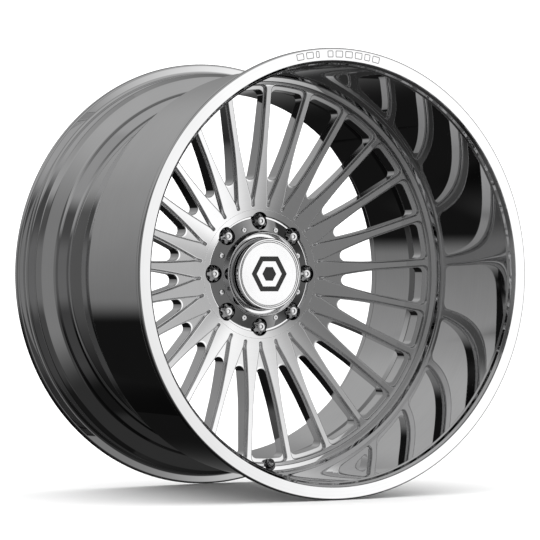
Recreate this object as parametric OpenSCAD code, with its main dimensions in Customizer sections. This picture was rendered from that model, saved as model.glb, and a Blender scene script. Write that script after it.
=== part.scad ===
// Deep-lip forged wheel rim: a rolled barrel, a forged many-spoke centre welded
// into it, a bolt-on hub cap, lug nuts and a clamp-in tyre valve.
// The origin is the middle of the hub mounting face. The wheel spins about Y,
// the outer (street) side faces -Y, and +Z is up.

/* [Rim] */
// Nominal diameter over the tyre bead seats
seat_d = 660.4; // [640:0.1:680]
// Width between the two tyre flanges
rim_w = 406.4; // [390:0.1:420]
// Height of a flange above its bead seat
flange_h = 17.5; // [16:0.5:19]
// Thickness of each flange
flange_t = 12.5; // [11:0.5:14]
// Distance from the hub face out to the middle plane of the rim
back_offset = 76.2; // [70:0.1:82]
// Inner radius of the polished lip
lip_r = 318.3; // [317:0.1:319]
// Outer radius of the barrel between the front bead and the drop centre
front_r = 324.5; // [323.5:0.1:325.5]
// Outer radius of the drop centre
well_r = 304; // [302:0.5:306]
// Wall thickness of the drop centre
well_wall = 6; // [5:0.5:7]

/* [Centre] */
// Number of spokes
spokes = 25; // [25:1:25]
// Depth of the spoke ring behind the front flange
ring_depth = 215; // [213:0.5:217]
// Outer radius of the forged centre, where it seats in the barrel
centre_r = 308; // [307:0.1:308.5]
// Radius where the spoke ring starts outside the windows
ring_r = 302; // [301:0.5:303]
// Outer radius of the through windows
window_r = 293; // [291:0.5:294]
// Radius of the round inner end of each through window
window_in_r = 152.5; // [149:0.5:156]
// Radius of the sharp inner tip of each window's sunk border
tip_r = 109.5; // [107:0.5:111]
// Depth of the sunk border below the spoke faces
border_depth = 6; // [5:0.5:7]

/* [Hub] */
// Diameter of the hub bore
bore_d = 125.1; // [120:0.1:126]
// Depth of the hub bore from the mounting face
bore_depth = 24; // [22:1:26]
// Number of lug holes
lugs = 8; // [8:1:8]
// Diameter of the circle of lug holes
lug_pcd = 170; // [165:0.1:172]
// Diameter of each lug hole
lug_hole_d = 15.8; // [15:0.1:16.5]
// Height of the cap seat above the mounting face
pad_z = 41; // [39:0.1:42]

/* [Hub cap] */
// Radius of the cap's bolt flange
cap_r = 89.6; // [88:0.1:90.2]
// Thickness of the cap's bolt flange
cap_flange_t = 4; // [3.5:0.5:5]
// Radius of the step on the flange
boss_r = 67.3; // [66:0.1:68]
// Radius of the front disc
disc_r = 53.5; // [52:0.5:54]

/* [Valve] */
// Diameter of the valve hole
valve_hole_d = 11.5; // [11.3:0.1:11.7]
// Lean of the valve from straight inward towards the outer side, in degrees
valve_lean = 48; // [46:0.5:50]
// Lead of the valve cap's thread
cap_lead = 0.794; // [0.7:0.001:0.8]

/* [Hidden] */
$fn = 180;

seat_r = seat_d / 2;                       // bead seat
rim_r = seat_r + flange_h;                 // flange edge
half_w = rim_w / 2;
front_z = back_offset + half_w + flange_t; // outer face of the front flange
rear_z = back_offset - half_w - flange_t;  // outer face of the rear flange
front_bead = back_offset + half_w;         // tyre side of the front flange
rear_bead = back_offset - half_w;          // tyre side of the rear flange
ring_z = front_z - ring_depth;             // face of the spoke ring
seat_w = 22;                               // width of a bead seat
seat_drop = seat_w * tan(5);               // bead seats fall 5 degrees inward

// the forged centre seats against this shoulder in the barrel
shoulder_z = ring_z - 16.5;
ring_back_z = ring_z - 30.5;               // back of the spoke ring
land_r = centre_r - 5;                     // ring radius behind the shoulder
ramp_z = ring_z + 1.5;                     // front end of the drop centre's ramp
well_z = ramp_z - 62;                      // where the drop centre is at full depth

face_in_r = cap_r + 3.4;                   // recess that takes the cap flange
face_in_z = pad_z + cap_flange_t;          // spoke face at that radius
face_slope = (ring_z - face_in_z) / (ring_r - face_in_r);
pitch = 360 / spokes;

bore_r = bore_d / 2;
plug_r = 58;                               // bore that takes the cap's spigot
lug_r = lug_pcd / 2;
lug_hole_r = lug_hole_d / 2;
lug_seat_z = 18;                           // start of the lug's cone seat
lug_pocket_r = 15;                         // counterbore round each lug nut
lug_cone_h = (lug_pocket_r - lug_hole_r) / tan(30);
gap = 0.02;                                // daylight left between seated faces
step_lug = 360 / lugs;
screw_r = 76;                              // circle of the cap's screws

// the valve's own axis passes this point of the rim at 6 o'clock
valve_r = 304;
valve_z = ring_z - 0.2;
valve_base = -13;                          // inner spot face, along the valve's axis
wall_t = 8;                                // metal left between the two spot faces

// ---- shared shapes --------------------------------------------------------

// Turns the axle frame, with z along the axle to the outer side, into the row's frame
module on_axle() { rotate([90, 0, 0]) children(); }

// Copies its children n times round the axle
module ring_of(n, start = 0) {
  for (i = [0 : n - 1]) rotate([0, 0, start + i * 360 / n]) children();
}

// Puts the valve's frame (z along the stem, out of the rim) in the axle frame
module on_valve() {
  translate([0, -valve_r, valve_z]) rotate([valve_lean - 90, 0, 0])
    translate([0, 0, valve_base]) children();
}

function unit(v) = v / norm(v);

// Points of one rounded corner at b, with neighbours a and c and radius r
function corner(a, b, c, r, n = 5) =
  let (u = unit(a - b), v = unit(c - b),
       half = acos(max(-1, min(1, u * v))) / 2)
  (r <= 0 || half > 89.5) ? [b] :
  let (reach = r / tan(half),
       middle = b + unit(u + v) * r / sin(half),
       p = b + u * reach - middle, q = b + v * reach - middle,
       a0 = atan2(p.y, p.x), d = atan2(p.x * q.y - p.y * q.x, p * q))
  [for (i = [0 : n]) middle + r * [cos(a0 + d * i / n), sin(a0 + d * i / n)]];

// Closed outline from [x, y, corner radius] triples
function rounded(pts) = [for (i = [0 : len(pts) - 1])
  let (n = len(pts), a = pts[(i + n - 1) % n], b = pts[i], c = pts[(i + 1) % n])
  each corner([a.x, a.y], [b.x, b.y], [c.x, c.y], b.z)];

// Solid turned from [r, z, corner radius] triples
module turned(pts) { rotate_extrude() polygon(rounded(pts)); }

module tube(r_out, r_in, z0, z1) {
  translate([0, 0, z0]) difference() {
    cylinder(h = z1 - z0, r = r_out);
    translate([0, 0, -1]) cylinder(h = z1 - z0 + 2, r = r_in);
  }
}

// Hexagon bar of a given size across its flats
module hex_bar(flats, h) { cylinder(h = h, r = flats / 2 / cos(30), $fn = 6); }

// ---- rim ------------------------------------------------------------------

// Half of the barrel's outer outline, from flange edge to well: s is +1 at the
// front bead and -1 at the rear, z0 the tyre side of the flange
function bead_outside(z0, s) = [
  [rim_r, z0 + s * flange_t, 1.8],
  [rim_r, z0 + s * 1.5, 3.5],
  [seat_r + 0.4, z0, 6],
  [seat_r - seat_drop, z0 - s * seat_w, 1.5],
  [seat_r + 0.3, z0 - s * (seat_w + 4.5), 2.5],
  [seat_r + 0.3, z0 - s * (seat_w + 7), 2.5]];

function reversed(v) = [for (i = [len(v) - 1 : -1 : 0]) v[i]];

module barrel() {
  lip = [
    [lip_r + 0.3, ring_z + 13, 6],
    [lip_r + 2.0, front_z - 12.5, 0],
    [lip_r + 4.2, front_z - 10.5, 0.8],
    [lip_r + 6.0, front_z - 5, 2.5],
    [lip_r + 9.4, front_z - 1.8, 0.8],
    [lip_r + 10, front_z, 0.5]];
  inside = [
    [rim_r - 19.5, rear_z, 1.5],
    [seat_r - 9.5, rear_z + 10, 5],
    [seat_r - 10, rear_bead + seat_w + 8, 7],
    [well_r - well_wall - 2, rear_bead + seat_w + 26, 8],
    [well_r - well_wall, ring_back_z - 20, 4],
    [land_r, ring_back_z - 3, 0],
    [land_r, shoulder_z, 0],
    [centre_r, shoulder_z, 0],
    [centre_r, ring_z + 2, 0.4],
    [lip_r - 3.4, ring_z + 3, 1],
    [lip_r - 2.8, ring_z + 6.5, 2]];
  outside = concat(bead_outside(front_bead, 1), [
    [front_r, front_bead - seat_w - 14, 5],
    [front_r - 1, ramp_z, 1],
    [well_r + 1, well_z, 14],
    [well_r - 2, rear_bead + seat_w + 24, 7],
    [seat_r - 6, rear_bead + seat_w + 14, 6]],
    reversed(bead_outside(rear_bead, -1)));
  color("silver") on_axle() difference() {
    turned(concat(outside, inside, lip));
    valve_cuts();
  }
}

// The valve hole and the spot faces on each side of the wall
module valve_cuts() {
  on_valve() {
    translate([0, 0, -wall_t - 30]) cylinder(h = 60, r = valve_hole_d / 2);
    translate([0, 0, -wall_t - 30]) cylinder(h = 30, r = 10.5);
    cylinder(h = 40, r = 10.5);
  }
}

// Half width of a window's border at radius r: spokes taper from broad at the
// hub to slim at the ring
function border_half(r) =
  let (slim = 9.8, broad = 20, t = max(0, 1 - (r - tip_r) / 110))
  max(1.6, PI * r / spokes - slim / 2 - broad / 2 * pow(t, 1.6));

// Outline of a window at its border, pointing along +x
function border_outline() = rounded(concat(
  [for (r = [tip_r, tip_r + 15, tip_r + 35, tip_r + 60, tip_r + 95, ring_r - 1.5])
    [r, -border_half(r), r == tip_r ? 1.2 : r > ring_r - 2 ? 9 : 0]],
  [[ring_r + 1.3, 0, 0]],
  [for (r = [ring_r - 1.5, tip_r + 95, tip_r + 60, tip_r + 35, tip_r + 15, tip_r])
    [r, border_half(r), r == tip_r ? 1.2 : r > ring_r - 2 ? 9 : 0]]));

// Outline of the through window, set in from the border
function window_outline() =
  let (a = window_in_r, b = a + 48, c = window_r)
  rounded(concat(
    [[a, -7.9, 7.8], [a + 12, -border_half(a + 12) + 2.6, 12],
     [b, -border_half(b) + 2, 0], [c, -border_half(c) + 2.3, 9]],
    [[c + 2.5, 0, 0]],
    [[c, border_half(c) - 2.3, 9], [b, border_half(b) - 2, 0],
     [a + 12, border_half(a + 12) - 2.6, 12], [a, 7.9, 7.8]]));

module wheel_centre() {
  back = 49;  // back of the spokes at the ring
  blank = [
    [bore_r, 0, 1], [107, 0, 1.5], [126, 13, 8], [284, back, 3],
    [window_r, ring_back_z, 1], [land_r - gap, ring_back_z, 0.5],
    [land_r - gap, shoulder_z + gap, 0], [centre_r - gap, shoulder_z + gap, 0.5],
    [centre_r - gap, ring_z - 0.2, 1.2], [ring_r, ring_z, 0],
    [face_in_r, face_in_z, 0.8], [face_in_r, pad_z, 0.5], [plug_r, pad_z, 0.8],
    [plug_r, bore_depth, 0], [bore_r, bore_depth, 0]];
  // everything in front of the borders' floor
  above_floor = [
    [tip_r - 8, face_in_z + (tip_r - 8 - face_in_r) * face_slope - border_depth, 0],
    [ring_r + 4, ring_z + 4 * face_slope - border_depth, 0],
    [ring_r + 4, ring_z + 30, 0], [tip_r - 8, ring_z + 30, 0]];
  color("gainsboro") on_axle() difference() {
    turned(blank);
    intersection() {
      ring_of(spokes, 90 + pitch / 2) linear_extrude(ring_z + 20)
        polygon(border_outline());
      turned(above_floor);
    }
    ring_of(spokes, 90 + pitch / 2) translate([0, 0, -5]) linear_extrude(ring_z + 20)
      polygon(window_outline());
    ring_of(lugs) lug_hole();
    ring_of(lugs, step_lug / 2) {
      translate([screw_r, 0, pad_z - 12]) cylinder(h = 13, r = 2.1, $fn = 24);
      translate([lug_r, 0, -1]) cylinder(h = 15, r = 9, $fn = 48);
    }
    valve_cuts();
  }
}

// Lug hole, cone seat and counterbore
module lug_hole() {
  translate([lug_r, 0, 0]) {
    translate([0, 0, -1]) cylinder(h = lug_seat_z + 2, r = lug_hole_r, $fn = 48);
    translate([0, 0, lug_seat_z])
      cylinder(h = lug_cone_h, r1 = lug_hole_r, r2 = lug_pocket_r, $fn = 48);
    translate([0, 0, lug_seat_z + lug_cone_h])
      cylinder(h = 60, r = lug_pocket_r, $fn = 48);
  }
}

// Fillet of weld in the corner behind the centre
module weld_bead() {
  wall = land_r - gap;
  slope = (land_r - well_r + well_wall) / 17;
  color("gray") on_axle() turned([
    [wall, ring_back_z - gap, 0], [window_r + 3.5, ring_back_z - gap, 0],
    [window_r + 4.5, ring_back_z - 5.5, 4], [wall - 7 * slope, ring_back_z - 10, 0],
    [wall, ring_back_z - 3, 0]]);
}

// ---- hub cap --------------------------------------------------------------

cap_top = ring_z - 0.4;                    // front edge of the cap
disc_seat = cap_top - 4.5;                 // shelf the disc lies on
screw_seat = pad_z + cap_flange_t - 0.7;   // spot faces of the cap's screws

module cap_base() {
  profile = [
    [50, pad_z - 9, 0.5], [plug_r - 0.08, pad_z - 9, 0.8], [plug_r - 0.08, pad_z - 6.4, 0],
    [plug_r - 3.2, pad_z - 6.4, 0], [plug_r - 3.2, pad_z - 3.2, 0],
    [plug_r - 0.08, pad_z - 3.2, 0], [plug_r - 0.08, pad_z + gap, 0],
    [cap_r, pad_z + gap, 0.3], [cap_r, pad_z + cap_flange_t - 2.4, 0.8],
    [boss_r + 1, pad_z + cap_flange_t + 2.6, 2], [boss_r, cap_top - 15, 0.8],
    [boss_r - 1.8, cap_top - 15, 0.6], [boss_r - 2.4, pad_z + 9, 1.5],
    [58, pad_z + 9, 1.5], [57.4, cap_top - 1.6, 0.9], [56.2, cap_top, 0.6],
    [disc_r + 0.3, cap_top, 0.5], [disc_r + 0.05, disc_seat, 0],
    [45, disc_seat, 0.3], [45, disc_seat - 5, 0.6], [53.5, disc_seat - 5, 1],
    [54, disc_seat - 12, 2], [54, pad_z + 3, 2]];
  color("lightgray") on_axle() difference() {
    turned(profile);
    ring_of(lugs) translate([lug_r, 0, pad_z - 1]) cylinder(h = 12, r = 14.2, $fn = 48);
    ring_of(lugs, step_lug / 2) translate([screw_r, 0, 0]) {
      translate([0, 0, pad_z - 1]) cylinder(h = 6, r = 2.7, $fn = 24);
      translate([0, 0, screw_seat]) cylinder(h = 5, r = 4.8, $fn = 36);
    }
    ring_of(4, 45) translate([49, 0, disc_seat - 10])
      cylinder(h = 12, r = 1.7, $fn = 24);
  }
}

// Front disc with a turned groove near its edge
module cap_disc() {
  color("whitesmoke") on_axle() difference() {
    turned([[0, disc_seat + gap, 0], [disc_r, disc_seat + gap, 0], [disc_r, cap_top - 0.8, 0.6],
            [disc_r - 2, cap_top - 0.6, 0.3], [disc_r - 2.6, cap_top - 1.1, 0.2],
            [disc_r - 3.4, cap_top - 0.6, 0.3], [0, cap_top - 0.6, 0]]);
    ring_of(4, 45) translate([49, 0, disc_seat - 1]) cylinder(h = 3.6, r = 1.3, $fn = 24);
    translate([0, 0, cap_top - 1.6]) emblem_shape(1.2, 0);
  }
}

// Plain mark: a hexagon ring round a solid hexagon
module emblem_shape(h, play) {
  difference() {
    hex_bar(56 - play, h);
    translate([0, 0, -1]) hex_bar(40 + play, h + 2);
  }
  hex_bar(22 - play, h);
}

module cap_emblem() {
  color("darkslategray") on_axle() translate([0, 0, cap_top - 1.6 + gap])
    emblem_shape(1.15, 0.04);
}

// O-ring that seals the cap in the wheel
module cap_seal_ring() {
  color("black") on_axle() translate([0, 0, pad_z - 4.8])
    rotate_extrude() translate([plug_r - 1.6, 0]) circle(r = 1.5, $fn = 32);
}

// Socket button-head screw along z with its head's underside at z = 0
module screw(shank_r, length, head_r, head_h, socket) {
  difference() {
    union() {
      translate([0, 0, -length]) cylinder(h = length + 0.5, r = shank_r, $fn = 24);
      rotate_extrude($fn = 48) polygon(rounded([[0, 0, 0], [head_r, 0, 0],
        [head_r, head_h * 0.8, head_h * 0.2], [head_r * 0.88, head_h, head_h * 0.1],
        [0, head_h, 0]]));
    }
    translate([0, 0, head_h * 0.35]) hex_bar(socket, head_h);
  }
}

module cap_screws() {
  color("silver") on_axle() ring_of(lugs, step_lug / 2)
    translate([screw_r, 0, screw_seat + gap]) screw(2.05, 13, 4.3, 2.4, 2.5);
}

module disc_screws() {
  color("silver") on_axle() ring_of(4, 45)
    translate([49, 0, disc_seat - 5.02]) rotate([180, 0, 0]) screw(1.25, 7.6, 2.8, 1.7, 2);
}

// ---- lug nuts -------------------------------------------------------------

// Closed-end fluted nut with a cone seat
module lug_nut() {
  bottom = lug_seat_z + 1.4;
  nut_r = 12.3;
  top = pad_z + 9.5;
  cone_h = (nut_r - lug_hole_r) / tan(30);
  cone_z = lug_seat_z + cone_h + gap * 2;
  difference() {
    turned([[0, bottom, 0], [lug_hole_r + 0.75, bottom, 0], [nut_r, cone_z, 0.6],
            [nut_r, top - 5, 0.8], [6.4, top - 0.3, 1], [0, top, 0]], $fn = 72);
    translate([0, 0, bottom - 1]) cylinder(h = 24, r = 6.2, $fn = 48);
    ring_of(6, 30) translate([nut_r + 1.2, 0, cone_z + 6])
      cylinder(h = 60, r = 4.2, $fn = 36);
    translate([0, 0, top - 2]) cylinder(h = 5, r = 3, $fn = 36);
  }
}

module lug_nuts() {
  color("silver") on_axle() ring_of(lugs) translate([lug_r, 0, 0]) lug_nut();
}

// ---- valve ----------------------------------------------------------------
// Heights are along the stem from the inner spot face of the wall

stem_top = 17.5;
nut_top = 6.6;
core_low = -6;                             // low end of the core's barrel

module valve_stem() {
  color("silver") on_axle() on_valve() difference() {
    turned([[0, -wall_t - 8, 0], [7.2, -wall_t - 8, 1], [8.4, -wall_t - 5.4, 0.6],
            [8.4, -wall_t - 4, 0.4], [4.15, -wall_t - 4, 0.3], [4.15, nut_top + 0.6, 0.3],
            [3.85, nut_top + 0.9, 0], [3.85, stem_top, 0.6], [0, stem_top, 0]], $fn = 60);
    translate([0, 0, core_low - 4]) cylinder(h = 60, r = 2.6, $fn = 36);
    translate([0, 0, -wall_t - 10]) cylinder(h = 20, r = 1.7, $fn = 36);
  }
}

// Rubber collar under the wall, with a neck in the hole
module valve_grommet() {
  color("black") on_axle() on_valve() difference() {
    turned([[0, -wall_t - 4 + gap, 0], [8.9, -wall_t - 4 + gap, 1], [8.9, -wall_t - gap, 1],
            [valve_hole_d / 2 - 0.05, -wall_t - gap, 0],
            [valve_hole_d / 2 - 0.05, -0.6, 0.5], [0, -0.6, 0]], $fn = 60);
    translate([0, 0, -20]) cylinder(h = 40, r = 4.15 + gap, $fn = 60);
  }
}

module valve_washer() {
  color("silver") on_axle() on_valve() tube(9.6, 4.3, gap, 1.5, $fn = 60);
}

module valve_nut() {
  color("silver") on_axle() on_valve() difference() {
    intersection() {
      translate([0, 0, 1.5 + gap]) hex_bar(14, nut_top - 1.5 - gap);
      turned([[0, 1, 0], [8.4, 1, 0], [8.4, nut_top - 0.9, 0], [6.9, nut_top, 0],
              [0, nut_top, 0]], $fn = 60);
    }
    cylinder(h = 20, r = 4.15 + gap, $fn = 48);
  }
}

// Sleeve that screws into the stem and guides the pin
module valve_core_body() {
  color("gold") on_axle() on_valve() difference() {
    turned([[0, core_low + 8, 0], [2.1, core_low + 8, 0.2], [2.1, 9, 0.3], [2.56, 9.6, 0],
            [2.56, stem_top - 1.6, 0.2], [0, stem_top - 1.6, 0]], $fn = 36);
    cylinder(h = 60, r = 0.8, $fn = 24);
    translate([0, 0, core_low + 7]) cylinder(h = 5, r = 1.5, $fn = 24);
    translate([0, 0, stem_top - 2.8]) cylinder(h = 5, r = 1.35, $fn = 24);
    translate([-3, -1, stem_top - 3.2]) cube([1.8, 2, 3]);
    translate([1.2, -1, stem_top - 3.2]) cube([1.8, 2, 3]);
  }
}

module valve_core_pin() {
  color("silver") on_axle() on_valve() {
    translate([0, 0, core_low]) cylinder(h = stem_top - 0.5 - core_low, r = 0.74, $fn = 24);
    translate([0, 0, core_low]) cylinder(h = 0.6, r = 2.2, $fn = 24);
    translate([0, 0, stem_top - 1.3]) cylinder(h = 0.8, r = 1.2, $fn = 24);
  }
}

// Rubber cup that the pin pulls up against the sleeve
module valve_core_seal() {
  color("black") on_axle() on_valve()
    tube(2.1, 0.76, core_low + 6.2, core_low + 7.95, $fn = 36);
}

// Coil that holds the pin shut: it stands on the stem's floor and lifts the seal
module valve_core_spring() {
  turns = 5;
  wire = 0.2;
  low = core_low - 4 + wire;
  high = core_low - wire;
  rounds = 14;
  steps = turns * rounds;
  sides = 6;
  ring = [for (i = [0 : steps]) for (k = [0 : sides - 1])
    let (a = 360 * i / rounds, b = 360 * k / sides, r = 1.9 + wire * cos(b))
    [r * cos(a), r * sin(a), low + (high - low) * i / steps + wire * sin(b)]];
  side = [for (i = [0 : steps - 1]) for (k = [0 : sides - 1])
    let (a = i * sides + k, b = i * sides + (k + 1) % sides)
    each [[a, b, b + sides], [a, b + sides, a + sides]]];
  ends = [[for (k = [sides - 1 : -1 : 0]) k], [for (k = [0 : sides - 1]) steps * sides + k]];
  color("silver") on_axle() on_valve() polyhedron(ring, concat(side, ends));
}

// Knurled cap
module valve_cap() {
  cap_low = nut_top + 1.1;
  cap_high = cap_low + 13;
  color("silver") on_axle() on_valve() difference() {
    turned([[0, cap_low, 0], [5.6, cap_low, 0.5], [5.9, cap_high - 1.6, 0], [5.2, cap_high, 1],
            [0, cap_high, 0]], $fn = 60);
    translate([0, 0, cap_low - 1]) cylinder(h = stem_top - cap_low + 2.3, r = 3.92, $fn = 48);
    ring_of(16) translate([6.5, 0, cap_low + 1.6]) cylinder(h = 8.6, r = 0.9, $fn = 16);
  }
}

// Rubber disc in the roof of the cap
module valve_cap_seal() {
  color("black") on_axle() on_valve()
    translate([0, 0, stem_top + gap]) cylinder(h = 1.2, r = 3.8, $fn = 36);
}

barrel();
wheel_centre();
weld_bead();
cap_base();
cap_disc();
cap_emblem();
cap_seal_ring();
cap_screws();
disc_screws();
lug_nuts();
valve_stem();
valve_grommet();
valve_washer();
valve_nut();
valve_core_body();
valve_core_pin();
valve_core_spring();
valve_core_seal();
valve_cap();
valve_cap_seal();
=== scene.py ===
"""Looks of the forged wheel rim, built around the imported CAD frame.

Lengths in the shape tables are millimetres in the axle frame: r from the axle, z along
the axle towards the street side. put() turns them into the frame's metres.
"""
from math import acos, atan2, cos, degrees, pi, radians, sin, sqrt, tan

import bmesh
import bpy
import numpy as np
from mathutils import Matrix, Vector


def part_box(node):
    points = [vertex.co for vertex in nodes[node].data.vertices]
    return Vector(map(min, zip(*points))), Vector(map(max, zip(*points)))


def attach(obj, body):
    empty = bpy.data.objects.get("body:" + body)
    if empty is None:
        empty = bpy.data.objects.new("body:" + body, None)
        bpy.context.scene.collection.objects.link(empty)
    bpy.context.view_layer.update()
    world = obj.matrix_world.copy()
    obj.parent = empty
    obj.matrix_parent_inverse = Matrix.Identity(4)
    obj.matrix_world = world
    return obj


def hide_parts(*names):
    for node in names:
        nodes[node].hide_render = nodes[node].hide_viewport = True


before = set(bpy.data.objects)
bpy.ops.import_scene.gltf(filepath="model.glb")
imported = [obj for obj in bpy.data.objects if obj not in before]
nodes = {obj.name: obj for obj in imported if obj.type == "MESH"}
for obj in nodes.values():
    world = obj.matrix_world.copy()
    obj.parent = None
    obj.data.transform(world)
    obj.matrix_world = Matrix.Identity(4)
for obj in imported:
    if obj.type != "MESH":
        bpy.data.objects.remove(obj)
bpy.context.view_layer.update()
scene = bpy.context.scene


# ---- camera ---------------------------------------------------------------

def make_camera():
    low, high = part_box("barrel")
    size = high[0]                     # radius of the flange
    turn = radians(29.98)
    right = Vector((cos(turn), -sin(turn), 0))
    look = Vector((sin(turn), cos(turn), 0))
    data = bpy.data.cameras.new("camera")
    data.sensor_width = 36
    data.lens = 199.53
    data.shift_y = 0.0072
    camera = bpy.data.objects.new("camera", data)
    camera.location = Vector((0, low[1], 0)) - right * 0.3072 * size - look * 13.233 * size
    camera.rotation_euler = look.to_track_quat("-Z", "Y").to_euler()
    scene.collection.objects.link(camera)
    scene.camera = camera


make_camera()

# ---- sizes shared with the CAD --------------------------------------------

SEAT_R, RIM_R = 330.2, 347.7
FRONT, REAR = 291.9, -139.5
FRONT_BEAD, REAR_BEAD = 279.4, -127.0
RING_Z = FRONT - 215
SEAT_W = 22
SEAT_DROP = SEAT_W * tan(radians(5))
LIP_R, FRONT_R, WELL_R, WELL_WALL = 318.3, 324.5, 304, 6
CENTRE_R, RING_R, WINDOW_R = 308, 302, 293
WINDOW_IN, TIP_R, BORDER = 152.5, 109.5, 6
SPOKES, LUGS = 25, 8
BORE_R, PLUG_R, CAP_R, PAD_Z = 62.55, 58, 89.6, 41
FACE_IN_R, FACE_IN_Z = 93, 45
SLOPE = (RING_Z - FACE_IN_Z) / (RING_R - FACE_IN_R)
SHOULDER = RING_Z - 16.5
RING_BACK = RING_Z - 30.5
LAND_R = CENTRE_R - 5
LUG_R, LUG_HOLE, POCKET_R, LUG_SEAT = 85, 7.9, 15, 18
CONE_H = (POCKET_R - LUG_HOLE) / tan(radians(30))
CAP_TOP = RING_Z - 0.4
DISC_SEAT = CAP_TOP - 4.5
GAP = 0.02


def put(x, y, z):
    """A point of the axle frame, in mm, as a point of the frame, in metres."""
    return (x / 1000, -z / 1000, y / 1000)


# ---- mesh helpers ---------------------------------------------------------

def rounded(points, steps=8, closed=True, least=0.3):
    """Outline through (a, b, radius) corners, each one an arc between two short flats
    that keep the shading of the long faces true."""
    out = []
    count = len(points)
    for i, (x, y, r) in enumerate(points):
        b = np.array((x, y), float)
        if not closed and i in (0, count - 1):
            out.append(b)
            continue
        a = np.array(points[i - 1][:2], float)
        c = np.array(points[(i + 1) % count][:2], float)
        la, lc = np.linalg.norm(a - b), np.linalg.norm(c - b)
        u, v = (a - b) / la, (c - b) / lc
        half = acos(max(-1, min(1, float(u @ v)))) / 2
        if half > radians(89.3):
            out.append(b)
            continue
        r = max(r, least)
        reach = min(r / tan(half), 0.46 * la, 0.46 * lc)
        r = reach * tan(half)
        middle = b + (u + v) / np.linalg.norm(u + v) * r / sin(half)
        p, q = b + u * reach - middle, b + v * reach - middle
        start = atan2(p[1], p[0])
        swing = atan2(p[0] * q[1] - p[1] * q[0], float(p @ q))
        lead = 0.25
        if la - reach > 4 * lead:
            out.append(b + u * (reach + lead))
        for k in range(steps + 1):
            t = start + swing * k / steps
            out.append(middle + r * np.array((cos(t), sin(t))))
        if lc - reach > 4 * lead:
            out.append(b + v * (reach + lead))
    return fill_in([tuple(p) for p in out], closed)


def fill_in(points, closed, longest=14):
    """Adds points along long straight stretches."""
    out = []
    count = len(points)
    for i, p in enumerate(points):
        out.append(p)
        if i == count - 1 and not closed:
            break
        q = points[(i + 1) % count]
        far = sqrt((q[0] - p[0]) ** 2 + (q[1] - p[1]) ** 2)
        parts = int(far // longest)
        for k in range(1, parts + 1):
            t = k / (parts + 1)
            out.append((p[0] + (q[0] - p[0]) * t, p[1] + (q[1] - p[1]) * t))
    return out


class Shape:
    """Points and faces in the axle frame."""

    def __init__(self):
        self.points, self.faces = [], []

    def add(self, points):
        first = len(self.points)
        self.points.extend(points)
        return first

    def rows(self, rows, close_rows=False, close_across=False, flip=False):
        """A skin over rows of equally many points."""
        width = len(rows[0])
        first = self.add([p for row in rows for p in row])
        count = len(rows)
        for i in range(count if close_rows else count - 1):
            j = (i + 1) % count
            for k in range(width if close_across else width - 1):
                m = (k + 1) % width
                quad = (first + i * width + k, first + i * width + m,
                        first + j * width + m, first + j * width + k)
                self.faces.append(quad[::-1] if flip else quad)

    def cap(self, row, flip=False):
        first = self.add(row)
        ids = list(range(first, first + len(row)))
        self.faces.append(tuple(ids[::-1] if flip else ids))

    def join(self, other, turn=0.0, shift=(0, 0, 0)):
        c, s = cos(turn), sin(turn)
        first = self.add([(c * (x + shift[0]) - s * (y + shift[1]),
                           s * (x + shift[0]) + c * (y + shift[1]), z + shift[2])
                          for x, y, z in other.points])
        self.faces.extend(tuple(first + i for i in f) for f in other.faces)

    def bmesh(self, merge=2e-6):
        mesh = bpy.data.meshes.new("shape")
        mesh.from_pydata([put(*p) for p in self.points], [], self.faces)
        made = bmesh.new()
        made.from_mesh(mesh)
        bpy.data.meshes.remove(mesh)
        if merge:
            bmesh.ops.remove_doubles(made, verts=made.verts, dist=merge)
        return made


def ring_points(r, z, angles):
    return [(r * cos(a), r * sin(a), z) for a in angles]


def lathe(profile, count=360, start=0.0, end=360.0, closed=True):
    """Skin turned from (r, z) points, over part of a turn or the whole of it."""
    whole = end - start > 359.99
    steps = count if whole else count + 1
    angles = [radians(start + (end - start) * k / count) for k in range(steps)]
    shape = Shape()
    shape.rows([ring_points(r, z, angles) for r, z in profile],
               close_rows=closed, close_across=whole)
    return shape


def to_object(name, made, sharp=35, outward=True):
    """A mesh object from a bmesh, smooth except across angles above sharp degrees."""
    if outward:
        bmesh.ops.recalc_face_normals(made, faces=made.faces)
    mesh = bpy.data.meshes.new(name)
    made.to_mesh(mesh)
    made.free()
    mesh.polygons.foreach_set("use_smooth", [True] * len(mesh.polygons))
    mesh.set_sharp_from_angle(angle=radians(sharp))
    thing = bpy.data.objects.new(name, mesh)
    scene.collection.objects.link(thing)
    return thing


def cut(body, tool):
    """The closed bmesh body less the closed bmesh tool, as a new bmesh."""
    things = [to_object("cut_a", body), to_object("cut_b", tool)]
    step = things[0].modifiers.new("cut", "BOOLEAN")
    step.operation, step.solver, step.object = "DIFFERENCE", "EXACT", things[1]
    bpy.context.view_layer.update()
    seen = things[0].evaluated_get(bpy.context.evaluated_depsgraph_get())
    made = bmesh.new()
    made.from_mesh(seen.to_mesh())
    for thing in things:
        mesh = thing.data
        bpy.data.objects.remove(thing)
        bpy.data.meshes.remove(mesh)
    return made


def strip(made, inside):
    """Drops the faces whose every corner passes inside(r, angle, z), in mm and degrees."""
    def at(v):
        x, y, z = v.co.x * 1000, v.co.z * 1000, -v.co.y * 1000
        return sqrt(x * x + y * y), degrees(atan2(y, x)), z
    spare = [f for f in made.faces if all(inside(*at(v)) for v in f.verts)]
    bmesh.ops.delete(made, geom=spare, context="FACES")
    return made


def merge_in(target, extra):
    mesh = bpy.data.meshes.new("extra")
    extra.to_mesh(mesh)
    extra.free()
    target.from_mesh(mesh)
    bpy.data.meshes.remove(mesh)


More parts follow.
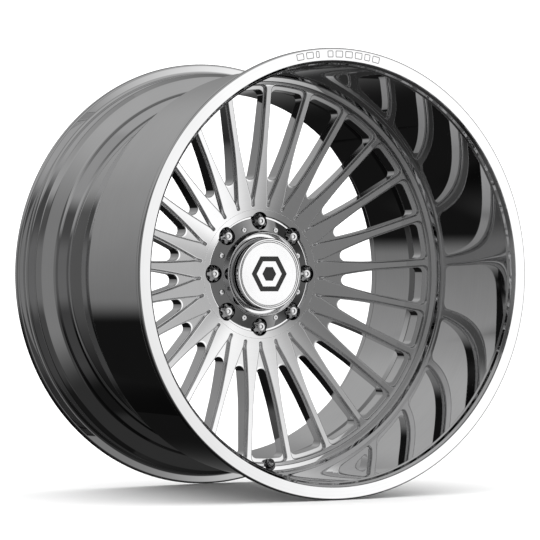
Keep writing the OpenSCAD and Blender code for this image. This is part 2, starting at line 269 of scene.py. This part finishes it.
def outline_offset(points, d):
    """A closed outline moved outwards by d."""
    p = np.array(points)
    run = np.roll(p, -1, 0) - np.roll(p, 1, 0)
    run /= np.linalg.norm(run, axis=1)[:, None]
    side = np.stack([run[:, 1], -run[:, 0]], 1)
    area = 0.5 * np.sum(p[:, 0] * np.roll(p[:, 1], -1) - p[:, 1] * np.roll(p[:, 0], -1))
    return [tuple(q) for q in p + side * (d if area > 0 else -d)]


def plate(outer, holes, z0, z1, edge=0.4, steps=3):
    """Flat plate with rounded edges, from closed outlines. Each hole runs like the outer
    outline; the caps are filled between the outlines."""
    shape = Shape()
    tops, bottoms = [], []
    for i, line in enumerate([outer] + holes):
        sign = -1 if i == 0 else 1
        rows = []
        for k in range(steps + 1):
            t = pi / 2 * k / steps
            moved = outline_offset(line, sign * edge * (1 - sin(t)))
            rows.append([(x, y, z1 - edge + edge * cos(t)) for x, y in moved])
        for k in range(steps + 1):
            t = pi / 2 * k / steps
            moved = outline_offset(line, sign * edge * (1 - cos(t)))
            rows.append([(x, y, z0 + edge - edge * sin(t)) for x, y in moved])
        shape.rows(rows, close_across=True)
        tops.append(rows[0])
        bottoms.append(rows[-1])
    made = shape.bmesh(merge=0)
    for lines in (tops, bottoms):
        edges = []
        for line in lines:
            verts = [made.verts.new(put(*p)) for p in line]
            edges += [made.edges.new((verts[k - 1], verts[k])) for k in range(len(verts))]
        bmesh.ops.triangle_fill(made, use_beauty=True, use_dissolve=False, edges=edges)
    return made


# ---- materials ------------------------------------------------------------

class Nodes:
    """Short calls for building a node tree."""

    def __init__(self, tree):
        self.tree = tree

    def new(self, kind, **settings):
        node = self.tree.nodes.new(kind)
        for key, value in settings.items():
            setattr(node, key, value)
        return node

    def link(self, a, b):
        self.tree.links.new(a, b)

    def set(self, socket, value):
        if isinstance(value, bpy.types.NodeSocket):
            self.link(value, socket)
        else:
            socket.default_value = value

    def math(self, operation, a, b=None, clamp=False):
        node = self.new("ShaderNodeMath", operation=operation, use_clamp=clamp)
        self.set(node.inputs[0], a)
        if b is not None:
            self.set(node.inputs[1], b)
        return node.outputs[0]

    def step(self, value, a, b, low=0.0, high=1.0, kind="SMOOTHSTEP"):
        node = self.new("ShaderNodeMapRange", interpolation_type=kind)
        for i, v in enumerate((value, a, b, low, high)):
            self.set(node.inputs[i], v)
        return node.outputs[0]

    def noise(self, vector, scale, detail=3.0, rough=0.55):
        node = self.new("ShaderNodeTexNoise")
        self.set(node.inputs["Vector"], vector)
        self.set(node.inputs["Scale"], scale)
        self.set(node.inputs["Detail"], detail)
        self.set(node.inputs["Roughness"], rough)
        return node.outputs["Fac"]

    def mix(self, factor, a, b):
        node = self.new("ShaderNodeMix", data_type="RGBA")
        self.set(node.inputs[0], factor)
        self.set(node.inputs[6], a)
        self.set(node.inputs[7], b)
        return node.outputs[2]


def grey(v):
    return (v, v, v * 1.005, 1)


def material(name, low, high, rough, metallic=1.0, grain="turned", groove=1.0, **more):
    """Finish whose colour runs from low to high and whose roughness spans rough, with
    turning lines, brushing or a cast skin."""
    made = bpy.data.materials.new(name)
    made.use_nodes = True
    made.node_tree.nodes.clear()
    n = Nodes(made.node_tree)
    out = n.new("ShaderNodeOutputMaterial")
    shader = n.new("ShaderNodeBsdfPrincipled")
    n.link(shader.outputs[0], out.inputs[0])
    shader.inputs["Metallic"].default_value = metallic
    for key, value in more.items():
        shader.inputs[key.replace("_", " ")].default_value = value
    place = n.new("ShaderNodeTexCoord").outputs["Object"]
    split = n.new("ShaderNodeSeparateXYZ")
    n.link(place, split.inputs[0])
    x, y, z = split.outputs
    radius = n.math("SQRT", n.math("ADD", n.math("MULTIPLY", x, x), n.math("MULTIPLY", z, z)))
    rings = n.new("ShaderNodeCombineXYZ")
    n.link(radius, rings.inputs[0])
    n.link(y, rings.inputs[1])
    cloud = n.noise(place, 14, 4)
    fine = n.noise(place, 900, 2)
    if grain == "turned":
        lines = n.noise(rings.outputs[0], 330, 5, 0.7)
        height, distance = lines, 2.6e-6 * groove
    elif grain == "brushed":
        lines = n.noise(rings.outputs[0], 700, 4, 0.7)
        height = n.math("ADD", n.math("MULTIPLY", lines, 0.6), n.math("MULTIPLY", fine, 0.4))
        distance = 3e-6 * groove
    else:
        lines = n.noise(place, 260, 5, 0.6)
        height, distance = n.math("ADD", lines, fine), 4e-5 * groove
    bump = n.new("ShaderNodeBump")
    bump.inputs["Strength"].default_value = 1.0
    bump.inputs["Distance"].default_value = distance
    n.link(height, bump.inputs["Height"])
    n.link(bump.outputs[0], shader.inputs["Normal"])
    tone = n.math("ADD", n.math("MULTIPLY", cloud, 0.5), n.math("MULTIPLY", lines, 0.5))
    n.link(n.mix(n.step(tone, 0.3, 0.7), low, high), shader.inputs["Base Color"])
    wear = n.math("ADD", n.math("MULTIPLY", cloud, 0.6), n.math("MULTIPLY", fine, 0.4))
    n.link(n.step(wear, 0.3, 0.7, rough[0], rough[1]), shader.inputs["Roughness"])
    return made


POLISHED = material("polished_barrel", grey(0.83), grey(0.89), (0.008, 0.03), groove=0.4)
CENTRE = material("polished_centre", grey(0.82), grey(0.88), (0.03, 0.06), grain="brushed",
                  groove=0.6)
CAP = material("polished_cap", grey(0.8), grey(0.9), (0.015, 0.04), groove=0.5)
SMOKED = material("smoked_cap", grey(0.56), grey(0.66), (0.015, 0.04), groove=0.5)
DISC = material("satin_disc", grey(0.9), grey(0.96), (0.12, 0.2), groove=0.6)
MARK = material("dark_mark", grey(0.012), grey(0.022), (0.3, 0.42), 0.0, "cast", 0.2)
WELD = material("weld_metal", grey(0.42), grey(0.66), (0.22, 0.4), grain="cast", groove=0.6)
NUT = material("plated_nut", grey(0.62), grey(0.74), (0.01, 0.04), groove=0.5)
SCREW = material("screw_steel", grey(0.6), grey(0.72), (0.1, 0.2), groove=0.8)
VALVE = material("plated_valve", grey(0.58), grey(0.7), (0.08, 0.16), groove=0.8)
BRASS = material("core_brass", (0.5, 0.33, 0.12, 1), (0.66, 0.46, 0.18, 1), (0.16, 0.3))
SPRING = material("spring_steel", grey(0.4), grey(0.55), (0.15, 0.3))
RUBBER = material("seal_rubber", grey(0.012), grey(0.03), (0.55, 0.75), 0.0, "cast", 0.5)
LINES = material("mark_lines", grey(0.16), grey(0.28), (0.25, 0.4), grain="brushed")

FINISH = {"barrel": POLISHED, "wheel_centre": CENTRE, "weld_bead": WELD, "cap_base": CAP,
          "cap_disc": DISC, "cap_emblem": MARK, "cap_seal_ring": RUBBER,
          "cap_screws": SCREW, "disc_screws": SCREW, "lug_nuts": NUT,
          "valve_stem": VALVE, "valve_grommet": RUBBER, "valve_washer": VALVE,
          "valve_nut": VALVE, "valve_core_body": BRASS, "valve_core_pin": BRASS,
          "valve_core_spring": SPRING, "valve_core_seal": RUBBER, "valve_cap": VALVE,
          "valve_cap_seal": RUBBER}
for name, finish in FINISH.items():
    data = nodes[name].data
    data.materials.clear()
    data.materials.append(finish)


def dress(thing, finish, body="wheel", stands_for=None):
    thing.data.materials.append(finish)
    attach(thing, body)
    if stands_for:
        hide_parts(stands_for)
    return thing


# ---- barrel ---------------------------------------------------------------

VALVE_R, VALVE_Z, VALVE_LEAN, VALVE_BASE = 304, RING_Z - 0.2, 48, -13


def valve_tool():
    """The valve hole and its two spot faces, as one closed turned body."""
    turned = lathe(rounded([(0, -38, 0), (10.5, -38, 0), (10.5, -8, 0), (5.75, -8, 0),
                            (5.75, 0, 0), (10.5, 0, 0), (10.5, 40, 0), (0, 40, 0)],
                           steps=1, least=0.01), 48)
    lean = radians(VALVE_LEAN - 90)
    placed = Shape()
    placed.faces = turned.faces
    for x, y, z in turned.points:
        z += VALVE_BASE
        y, z = y * cos(lean) - z * sin(lean), y * sin(lean) + z * cos(lean)
        placed.points.append((x, y - VALVE_R, z + VALVE_Z))
    return placed.bmesh()


def bead(z0, s):
    return [(RIM_R, z0 + s * 12.5, 2.6), (RIM_R, z0 + s * 1.5, 3.5), (SEAT_R + 0.4, z0, 6),
            (SEAT_R - SEAT_DROP, z0 - s * SEAT_W, 1.5),
            (SEAT_R + 0.3, z0 - s * (SEAT_W + 4.5), 2.5),
            (SEAT_R + 0.3, z0 - s * (SEAT_W + 7), 2.5)]


def barrel():
    lip = [(LIP_R + 0.3, RING_Z + 13, 6), (LIP_R + 2, FRONT - 12.5, 0.4),
           (LIP_R + 4.2, FRONT - 10.5, 0.8), (LIP_R + 6, FRONT - 5, 2.5),
           (LIP_R + 9.4, FRONT - 1.8, 0.8), (LIP_R + 10, FRONT, 0.5)]
    inside = [(RIM_R - 19.5, REAR, 1.5), (SEAT_R - 9.5, REAR + 10, 5),
              (SEAT_R - 10, REAR_BEAD + SEAT_W + 8, 7),
              (WELL_R - WELL_WALL - 2, REAR_BEAD + SEAT_W + 26, 8),
              (WELL_R - WELL_WALL, RING_BACK - 20, 4), (LAND_R, RING_BACK - 3, 0.3),
              (LAND_R, SHOULDER, 0.3), (CENTRE_R, SHOULDER, 0.3),
              (CENTRE_R, RING_Z + 2, 0.4), (LIP_R - 3.4, RING_Z + 3, 1),
              (LIP_R - 2.8, RING_Z + 6.5, 2)]
    outside = bead(FRONT_BEAD, 1) + [
        (FRONT_R, FRONT_BEAD - SEAT_W - 14, 5), (FRONT_R - 1, RING_Z + 1.5, 1),
        (WELL_R + 1, RING_Z - 60.5, 14), (WELL_R - 2, REAR_BEAD + SEAT_W + 24, 7),
        (SEAT_R - 6, REAR_BEAD + SEAT_W + 14, 6)] + bead(REAR_BEAD, -1)[::-1]
    profile = rounded(outside + inside + lip)
    low, high = 264.0, 276.0
    most = lathe(profile, 348, high, low + 360).bmesh(0)
    part = lathe(profile, 12, low, high)
    angles = [radians(low), radians(high)]
    for i, a in enumerate(angles):
        part.cap([(r * cos(a), r * sin(a), z) for r, z in profile], flip=i == 1)
    part = cut(part.bmesh(), valve_tool())
    strip(part, lambda r, a, z: abs(abs(a + 90) - 6) < 1e-3)
    merge_in(most, part)
    bmesh.ops.remove_doubles(most, verts=most.verts, dist=2e-6)
    thing = to_object("barrel_skin", most, 32)
    return dress(thing, POLISHED, stands_for="barrel")


# ---- wheel centre ---------------------------------------------------------

PITCH = 2 * pi / SPOKES
P1, P2, P3, P4 = 6, 34, 12, 10          # points along tip, side, corner and outer edge


def ease(t):
    t = max(0.0, min(1.0, t))
    return t * t * (3 - 2 * t)


def face_z(r):
    """Height of the turned front face."""
    if r > RING_R:
        return RING_Z - 0.2 * (r - RING_R) / (CENTRE_R - RING_R)
    return FACE_IN_Z + (r - FACE_IN_R) * SLOPE


def back_z(r):
    """Height of the back."""
    if r < 126:
        return 13 * ease((r - 106) / 20)
    if r < 284:
        return 13 + 36 * (r - 126) / 158
    return 49 - (49 - RING_BACK) * ease((r - 284) / 8)


def floor_z(r):
    """Height of the border sunk round a window."""
    return face_z(r) - BORDER


def spoke_side(x):
    t = max(0.0, 1 - (x - TIP_R) / 110)
    return max(1.6, pi * x / SPOKES - 4.9 - 10 * t ** 1.6)


def half_outline(side, tip, outer, corner):
    """Upper half of a window-like outline from its tip on the x axis to its outer edge."""
    def slope(x):
        return atan2(side(x + 0.5) - side(x - 0.5), 1)
    ball = side(tip + 2)
    for _ in range(20):
        ball = side(tip + ball) * cos(slope(tip + ball))
    centre = tip + ball
    lean = slope(centre)
    line = [(centre + ball * cos(a), ball * sin(a))
            for a in np.linspace(pi, pi / 2 + lean, P1 + 1)[:-1]]
    cx, cy = outer - corner, 20.0
    for _ in range(40):
        s = slope(cx)
        cy = side(cx) - corner / cos(s)
        cx = sqrt((outer - corner) ** 2 - cy * cy)
    s = slope(cx)
    x0, x1 = centre - ball * sin(lean), cx - corner * sin(s)
    for t in np.linspace(0, 1, P2 + 1)[:-1]:
        t = t ** 1.15
        line.append((x0 + (x1 - x0) * t, side(x0 + (x1 - x0) * t)))
    end = atan2(cy, cx)
    line += [(cx + corner * cos(a), cy + corner * sin(a))
             for a in np.linspace(pi / 2 + s, end, P3 + 1)[:-1]]
    line += [(outer * cos(a), outer * sin(a)) for a in np.linspace(end, 0, P4 + 1)]
    return line


def cell_outline(inner, outer):
    """Upper half of one spoke pitch, with as many points as half_outline gives."""
    h = PITCH / 2
    line = [(inner * cos(a), inner * sin(a)) for a in np.linspace(0, h, P1 + 1)[:-1]]
    top = outer - 10
    for t in np.linspace(0, 1, P2 + 1)[:-1]:
        r = inner + (top - inner) * t ** 1.15
        line.append((r * cos(h), r * sin(h)))
    for t in np.linspace(0, 1, P3 // 2 + 1)[:-1]:
        r = top + (outer - top) * t
        line.append((r * cos(h), r * sin(h)))
    bend = h * 0.62
    line += [(outer * cos(a), outer * sin(a)) for a in np.linspace(h, bend, P3 // 2 + 1)[:-1]]
    line += [(outer * cos(a), outer * sin(a)) for a in np.linspace(bend, 0, P4 + 1)]
    return line


def mirror_close(half):
    return half + [(x, -y) for x, y in half[-2:0:-1]]


CELL_IN, CELL_OUT, CELL_BACK_OUT = 104.0, 305.0, 301.0


def cell():
    """Skin of one window and the half spokes beside it: front face, sunk border, window
    walls and back, without its sides."""
    border = mirror_close(half_outline(spoke_side, TIP_R, 302.7, 9))
    window = mirror_close(half_outline(lambda x: spoke_side(x) - 2.4, WINDOW_IN, 295, 9))
    edge = mirror_close(cell_outline(CELL_IN, CELL_OUT))
    back_edge = mirror_close(cell_outline(CELL_IN, CELL_BACK_OUT))

    def level(line, height):
        return [(x, y, height(sqrt(x * x + y * y))) for x, y in line]

    def between(a, b, t):
        return [(p[0] + (q[0] - p[0]) * t, p[1] + (q[1] - p[1]) * t) for p, q in zip(a, b)]

    rows = [level(edge, face_z)]
    round_over, fillet, rim_round = 1.5, 1.4, 0.6
    lip = outline_offset(border, round_over)
    for t in (0.3, 0.65, 0.93):
        rows.append(level(between(edge, lip, t), face_z))
    for k in range(6):
        t = pi / 2 * k / 5
        line = outline_offset(border, round_over * (1 - sin(t)))
        rows.append(level(line, lambda r, t=t: face_z(r) - round_over * (1 - cos(t))))
    rows.append(level(border, lambda r: floor_z(r) + fillet + 0.2))
    for k in range(6):
        t = pi / 2 * k / 5
        line = outline_offset(border, -fillet * (1 - cos(t)))
        rows.append(level(line, lambda r, t=t: floor_z(r) + fillet * (1 - sin(t))))
    low = outline_offset(border, -fillet)
    rim = outline_offset(window, rim_round)
    for t in (0.1, 0.35, 0.6, 0.8, 0.92):
        rows.append(level(between(low, rim, t), floor_z))
    for k in range(5):
        t = pi / 2 * k / 4
        line = outline_offset(window, rim_round * (1 - sin(t)))
        rows.append(level(line, lambda r, t=t: floor_z(r) - rim_round * (1 - cos(t))))
    for t in (0.02, 0.35, 0.65, 0.98):
        rows.append(level(window, lambda r, t=t: (floor_z(r) - rim_round) * (1 - t)
                          + (back_z(r) + 1.5) * t))
    for k in range(6):
        t = pi / 2 * k / 5
        line = outline_offset(window, 1.5 * (1 - cos(t)))
        rows.append(level(line, lambda r, t=t: back_z(r) + 1.5 * (1 - sin(t))))
    foot = outline_offset(window, 1.5)
    for t in (0.04, 0.3, 0.55, 0.8, 1):
        rows.append(level(between(foot, back_edge, t), back_z))
    shape = Shape()
    shape.rows(rows, close_across=True)
    return shape, rows[0], rows[-1]


def wall_at(z):
    """Radius of the hidden wall between the cells and the outer ring."""
    return CELL_BACK_OUT + (z - RING_BACK) * (CELL_OUT - CELL_BACK_OUT) / (
        face_z(CELL_OUT) - RING_BACK)


def wheel_centre():
    shape, front, back = cell()
    skin = Shape()
    for i in range(SPOKES):
        if i != 12:
            skin.join(shape, pi / 2 + PITCH * (i + 0.5))
    made = skin.bmesh(0)

    # the cell at 6 o'clock takes part of the valve's spot face
    closed = Shape()
    closed.faces, closed.points = list(shape.faces), list(shape.points)
    closed.rows([front, back], close_across=True, flip=True)
    whole = Shape()
    whole.join(closed, pi / 2 + PITCH * 12.5)
    valve_cell = cut(whole.bmesh(), valve_tool())
    side = degrees(PITCH / 2)
    strip(valve_cell, lambda r, a, z: abs(abs(a + 90) - side) < 2e-3)
    strip(valve_cell, lambda r, a, z: abs(r - CELL_IN) < 2e-3)
    strip(valve_cell, lambda r, a, z: abs(r - wall_at(z)) < 5e-3)
    merge_in(made, valve_cell)

    # outer ring, seated in the barrel
    ring = rounded([(CELL_BACK_OUT, RING_BACK, 0), (LAND_R - GAP, RING_BACK, 0.5),
                    (LAND_R - GAP, SHOULDER + GAP, 0.3), (CENTRE_R - GAP, SHOULDER + GAP, 0.4),
                    (CENTRE_R - GAP, RING_Z - 0.2, 1.2), (CELL_OUT, face_z(CELL_OUT), 0)],
                   closed=False)
    merge_in(made, lathe(ring, 346, 277, 623, closed=False).bmesh(0))
    part = lathe(ring, 14, 263, 277)
    for i, a in enumerate((radians(263), radians(277))):
        part.cap([(r * cos(a), r * sin(a), z) for r, z in ring], flip=i == 1)
    part = cut(part.bmesh(), valve_tool())
    strip(part, lambda r, a, z: abs(abs(a + 90) - 7) < 2e-3)
    strip(part, lambda r, a, z: abs(r - wall_at(z)) < 5e-3)
    merge_in(made, part)

    # hub with its bore, cap recess, lug holes and pockets
    hub = rounded([(BORE_R, 0, 1), (CELL_IN, 0, 0.01), (CELL_IN, face_z(CELL_IN), 0.01),
                   (FACE_IN_R, FACE_IN_Z, 0.8), (FACE_IN_R, PAD_Z, 0.5), (PLUG_R, PAD_Z, 0.8),
                   (PLUG_R, 24, 0.3), (BORE_R, 24, 0.3)], steps=4)
    tool = Shape()
    lug = lathe(rounded([(0, -2, 0), (LUG_HOLE, -2, 0), (LUG_HOLE, LUG_SEAT, 0),
                         (POCKET_R, LUG_SEAT + CONE_H, 0), (POCKET_R, 70, 0), (0, 70, 0)],
                        steps=1, least=0.02), 64)
    relief = lathe([(0, -2), (9, -2), (9, 13), (8, 14), (0, 14)], 48)
    screw_hole = lathe([(0, PAD_Z - 12), (2.1, PAD_Z - 12), (2.1, PAD_Z + 2), (0, PAD_Z + 2)], 24)
    for i in range(LUGS):
        turn = 2 * pi * i / LUGS
        tool.join(lug, turn, (LUG_R, 0, 0))
        tool.join(relief, turn + pi / LUGS, (LUG_R, 0, 0))
        tool.join(screw_hole, turn + pi / LUGS, (76, 0, 0))
    hub = cut(lathe(hub, 300).bmesh(), tool.bmesh())
    strip(hub, lambda r, a, z: abs(r - CELL_IN) < 2e-3)
    merge_in(made, hub)
    bmesh.ops.remove_doubles(made, verts=made.verts, dist=2e-6)
    thing = to_object("centre_skin", made, 32)
    return dress(thing, CENTRE, stands_for="wheel_centre")


barrel()
wheel_centre()


# ---- weld -----------------------------------------------------------------

def weld():
    """Fillet of overlapping weld pools behind the centre."""
    wall = LAND_R - GAP
    slope = 5 / 17
    base = rounded([(wall, RING_BACK - GAP, 0), (WINDOW_R + 3.5, RING_BACK - GAP, 0),
                    (WINDOW_R + 4.5, RING_BACK - 5.5, 4), (wall - 7 * slope, RING_BACK - 10, 0),
                    (wall, RING_BACK - 3, 0)], steps=6, least=0.2)
    count = 2400
    shape = Shape()
    rows = []
    for r, z in base:
        free = r < wall - 1.5 and z < RING_BACK - 0.5
        row = []
        for k in range(count):
            a = 2 * pi * k / count
            lift = 0.0
            if free:
                phase = (k % 6) / 6 + 0.12 * (z - RING_BACK)
                lift = 0.32 * abs(sin(pi * phase)) + 0.12 * sin(9 * a + 1.3) * sin(31 * a)
            row.append(((r - lift) * cos(a), (r - lift) * sin(a), z - 0.6 * lift))
        rows.append(row)
    shape.rows(rows, close_rows=True, close_across=True)
    thing = to_object("weld_skin", shape.bmesh(0), 50)
    return dress(thing, WELD, stands_for="weld_bead")


weld()

# ---- hub cap --------------------------------------------------------------


def hub_cap():
    drum = lathe(rounded([
        (50, PAD_Z - 9, 0.5), (PLUG_R - 0.08, PAD_Z - 9, 0.8), (PLUG_R - 0.08, PAD_Z - 6.4, 0),
        (PLUG_R - 3.2, PAD_Z - 6.4, 0), (PLUG_R - 3.2, PAD_Z - 3.2, 0),
        (PLUG_R - 0.08, PAD_Z - 3.2, 0), (PLUG_R - 0.08, PAD_Z + GAP, 0),
        (64, PAD_Z + GAP, 0), (64, PAD_Z + 9, 0), (58.5, PAD_Z + 9, 1.5),
        (58.6, CAP_TOP - 15, 0.8), (57.2, CAP_TOP - 1.4, 0.8), (55.8, CAP_TOP, 0.4),
        (53.8, CAP_TOP, 0.4),
        (53.55, DISC_SEAT, 0), (45, DISC_SEAT, 0.3), (45, DISC_SEAT - 5, 0.6),
        (53.5, DISC_SEAT - 5, 1), (54, DISC_SEAT - 12, 2), (54, PAD_Z + 3, 2)],
        least=0.2), 288).bmesh()
    strip(drum, lambda r, a, z: abs(r - 64) < 2e-3)
    flange = lathe(rounded([
        (64, PAD_Z + GAP, 0), (CAP_R, PAD_Z + GAP, 0.3), (CAP_R, PAD_Z + 1.6, 0.8),
        (68.3, PAD_Z + 6.6, 2), (67.3, CAP_TOP - 15, 0.8), (65.5, CAP_TOP - 15, 0.6),
        (64.9, PAD_Z + 9, 1.5), (64, PAD_Z + 9, 0)], least=0.2), 288).bmesh()
    bite = lathe(rounded([(0, PAD_Z - 2, 0), (14.2, PAD_Z - 2, 0), (14.2, PAD_Z + 11, 0),
                          (0, PAD_Z + 11, 0)], steps=1, least=0.02), 96)
    seat = PAD_Z + 3.3
    spot = lathe(rounded([(0, PAD_Z - 2, 0), (2.7, PAD_Z - 2, 0), (2.7, seat, 0),
                          (4.8, seat, 0), (4.8, seat + 5, 0), (0, seat + 5, 0)],
                         steps=1, least=0.02), 48)
    tool = Shape()
    for i in range(LUGS):
        turn = 2 * pi * i / LUGS
        tool.join(bite, turn, (LUG_R, 0, 0))
        tool.join(spot, turn + pi / LUGS, (76, 0, 0))
    flange = cut(flange, tool.bmesh())
    strip(flange, lambda r, a, z: abs(r - 64) < 2e-3)
    dress(to_object("cap_drum_skin", drum, 32), CAP, stands_for="cap_base")
    dress(to_object("cap_flange_skin", flange, 32), SMOKED)


def lug_nuts():
    """Fluted closed nuts: the flutes narrow the turned shape between their lands."""
    nut_r, bottom, top = 12.3, LUG_SEAT + 1.4, PAD_Z + 9.5
    cone_z = LUG_SEAT + (nut_r - LUG_HOLE) / tan(radians(30)) + 2 * GAP
    outline = rounded([(6.2, bottom, 0.2), (LUG_HOLE + 0.75, bottom, 0.3), (nut_r, cone_z, 0.6),
                       (nut_r, top - 5, 0.8), (6.4, top - 0.3, 1), (3.4, top - 0.1, 0.4),
                       (3.0, top - 0.6, 0.3), (3.0, top - 2, 0.3), (0.05, top - 2, 0)],
                      closed=False, steps=6)
    outline = fill_in(outline, False, 1.5)
    inner = rounded([(0.05, bottom + 23, 0), (6.2, bottom + 23, 0.6), (6.2, bottom, 0.2)],
                    closed=False, steps=2)
    count = 120
    one = Shape()
    rows = []
    for r, z in outline + inner[:-1]:
        row = []
        for k in range(count):
            a = 2 * pi * k / count
            reach = r
            off = a % (pi / 3) - pi / 6
            if z > cone_z + 2 and r > 6:
                side = 13.5 * sin(off)
                if abs(side) < 4.2:
                    flute = 13.5 * cos(off) - sqrt(4.2 ** 2 - side ** 2)
                    blend = ease((z - cone_z - 2) / 4)
                    reach = min(r, r + (min(flute, r) - r) * blend)
            row.append((reach * cos(a), reach * sin(a), z))
        rows.append(row)
    one.rows(rows, close_rows=False, close_across=True)
    every = Shape()
    for i in range(LUGS):
        every.join(one, 2 * pi * i / LUGS, (LUG_R, 0, 0))
    thing = to_object("nut_skins", every.bmesh(), 38)
    return dress(thing, NUT, stands_for="lug_nuts")


hub_cap()
lug_nuts()


def flange_marks():
    """A row of plain cut frames in place of the lettering on the front flange."""
    row_r, half_height, space = 338, 5.2, 4.4
    made = bmesh.new()
    lengths = [13, 13, 6, 0, 10, 13, 13, 13, 10, 13]
    turn = radians(103)
    for length in lengths:
        span = max(length, 6) / row_r
        if length:
            def frame_line(shrink):
                w, h = length / 2 - shrink, half_height - shrink
                corners = rounded([(-w, -h, 1.6 - shrink), (w, -h, 1.6 - shrink),
                                   (w, h, 1.6 - shrink), (-w, h, 1.6 - shrink)], steps=4)
                middle = turn - span / 2
                line = []
                for x, y in corners:
                    a = middle - x / row_r
                    line.append(((row_r + y) * cos(a), (row_r + y) * sin(a)))
                return line
            merge_in(made, plate(frame_line(0), [frame_line(1.1)], FRONT - 0.3,
                                 FRONT + 0.12, 0.1, 2))
        turn -= span + space / row_r
    thing = to_object("flange_marks", made, 40)
    return dress(thing, LINES)


flange_marks()


# ---- studio ---------------------------------------------------------------

def studio():
    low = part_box("barrel")[0]
    mesh = bpy.data.meshes.new("floor")
    made = bmesh.new()
    bmesh.ops.create_circle(made, cap_ends=True, segments=96, radius=60)
    made.to_mesh(mesh)
    made.free()
    floor = bpy.data.objects.new("floor", mesh)
    floor.location.z = low[2] - 0.0005
    floor.visible_glossy = False
    scene.collection.objects.link(floor)
    paint = bpy.data.materials.new("floor")
    paint.use_nodes = True
    shader = paint.node_tree.nodes["Principled BSDF"]
    shader.inputs["Base Color"].default_value = (0.9, 0.9, 0.9, 1)
    shader.inputs["Roughness"].default_value = 0.9
    shader.inputs["Specular IOR Level"].default_value = 0
    mesh.materials.append(paint)

    world = bpy.data.worlds.new("studio")
    world.use_nodes = True
    scene.world = world
    world.cycles.sampling_method = "NONE"
    n = Nodes(world.node_tree)
    world.node_tree.nodes.clear()
    out = n.new("ShaderNodeOutputWorld")
    split = n.new("ShaderNodeSeparateXYZ")
    n.link(n.new("ShaderNodeTexCoord").outputs["Generated"], split.inputs[0])
    x, y, z = split.outputs
    ahead = n.math("MULTIPLY", y, -1.0)
    az = n.math("MULTIPLY", n.math("ARCTAN2", x, ahead), 180 / pi)
    el = n.math("MULTIPLY", n.math("ARCSINE", z), 180 / pi)
    low_el = n.math("ABSOLUTE", el)

    # What mirror rays see, by azimuth and elevation in degrees. It is a made-up room,
    # tuned so that the chrome looks right from the camera.
    # behind the wheel: dark below the horizon, lighter above, with a narrow light panel
    # at the left that bends with elevation
    light = n.math("ADD", n.step(el, -12.5, -6, 0.007, 0.18),
                   n.math("ADD", n.step(el, -6, 22, 0.0, 0.12, "LINEAR"),
                          n.step(el, 20, 31, 0.0, 0.09)))
    light = n.math("MULTIPLY", light, n.step(el, 33, 60, 1.0, 0.35))
    glow = n.math("MULTIPLY", n.step(az, 146, 170, 0.08, 0.0), n.step(az, 120, 140))
    glow = n.math("MULTIPLY", glow, n.step(el, -34, -12))
    light = n.math("ADD", light, n.math("MULTIPLY", glow, n.step(el, -10, 0, 1.0, 0.0)))
    bend = n.math("MULTIPLY", n.math("MULTIPLY", el, el), 0.021)
    off = n.math("ABSOLUTE", n.math("ADD", n.math("ADD", az, bend), 149.2))
    panel = n.step(off, 6.0, 7.5, 1.0, 0.0)
    panel = n.math("MAXIMUM", panel, n.step(el, 15, 21))
    panel = n.math("MAXIMUM", panel, n.step(az, 0, 20))
    back = n.math("ADD", n.math("MULTIPLY", light, panel),
                  n.math("MULTIPLY", n.step(el, -28, -3, 0.003, 0.09),
                         n.math("SUBTRACT", 1.0, panel)))
    # in front: a grey room with a ceiling
    front = n.math("ADD", n.step(el, -30, -14, 0.03, 0.21), n.step(el, 14, 40, 0.0, 0.2))
    # the left of the room is darker, and light again high up
    dim = n.math("ADD", n.math("ADD", n.step(el, -52, -40, 0.01, 0.06),
                               n.step(el, -18, -9, 0.0, 0.09)),
                 n.math("ADD", n.step(el, 8, 20, 0.0, -0.08), n.step(el, 26, 36, 0.0, 0.27)))
    left = n.step(az, -36, -24, 1.0, 0.0)
    front = n.math("ADD", n.math("MULTIPLY", front, n.math("SUBTRACT", 1.0, left)),
                   n.math("MULTIPLY", dim, left))
    facing = n.step(ahead, -0.3, 0.4)
    room = n.math("ADD", n.math("MULTIPLY", front, facing),
                  n.math("MULTIPLY", back, n.math("SUBTRACT", 1.0, facing)))
    # tall soft box at the right, wider and dimmer away from the horizon
    begin = n.math("SUBTRACT", 19.5, n.math("MULTIPLY", el, 0.26))
    reach = n.math("ADD", n.math("MULTIPLY", low_el, 0.5), 11.2)
    rise = n.step(n.math("DIVIDE", n.math("SUBTRACT", az, begin), reach), 0.0, 1.0)
    fade = n.step(n.math("ADD", az, n.math("MULTIPLY", el, 0.2)), 40.8, 45.2, 1.0, 0.3)
    height = n.math("ADD", n.step(low_el, 8, 20, 0.6, 0.0), n.step(low_el, 22, 40, 0.4, 0.0))
    box = n.math("MULTIPLY", n.math("MULTIPLY", rise, fade), height)
    box = n.math("MULTIPLY", box, n.step(az, 62, 80, 1.0, 0.0))
    total = n.math("ADD", room, box)
    seen = n.new("ShaderNodeBackground")
    seen.inputs["Strength"].default_value = 1.6
    mirrored = n.new("ShaderNodeBackground")
    for light in (seen, mirrored):
        light.inputs["Color"].default_value = (1, 1, 1, 1)
    n.link(total, mirrored.inputs["Strength"])
    path = n.new("ShaderNodeLightPath")
    either = n.new("ShaderNodeMixShader")
    n.link(path.outputs["Is Glossy Ray"], either.inputs[0])
    n.link(seen.outputs[0], either.inputs[1])
    n.link(mirrored.outputs[0], either.inputs[2])
    n.link(either.outputs[0], out.inputs[0])

    lamp = bpy.data.lights.new("soft_key", "AREA")
    lamp.shape, lamp.size, lamp.size_y, lamp.energy = "RECTANGLE", 3.0, 2.0, 12
    key = bpy.data.objects.new("soft_key", lamp)
    key.location = (1.2, -2.4, 2.6)
    key.rotation_euler = (-key.location).to_track_quat("-Z", "Y").to_euler()
    key.visible_glossy = False
    scene.collection.objects.link(key)
    scene.view_settings.view_transform = "Standard"


studio()
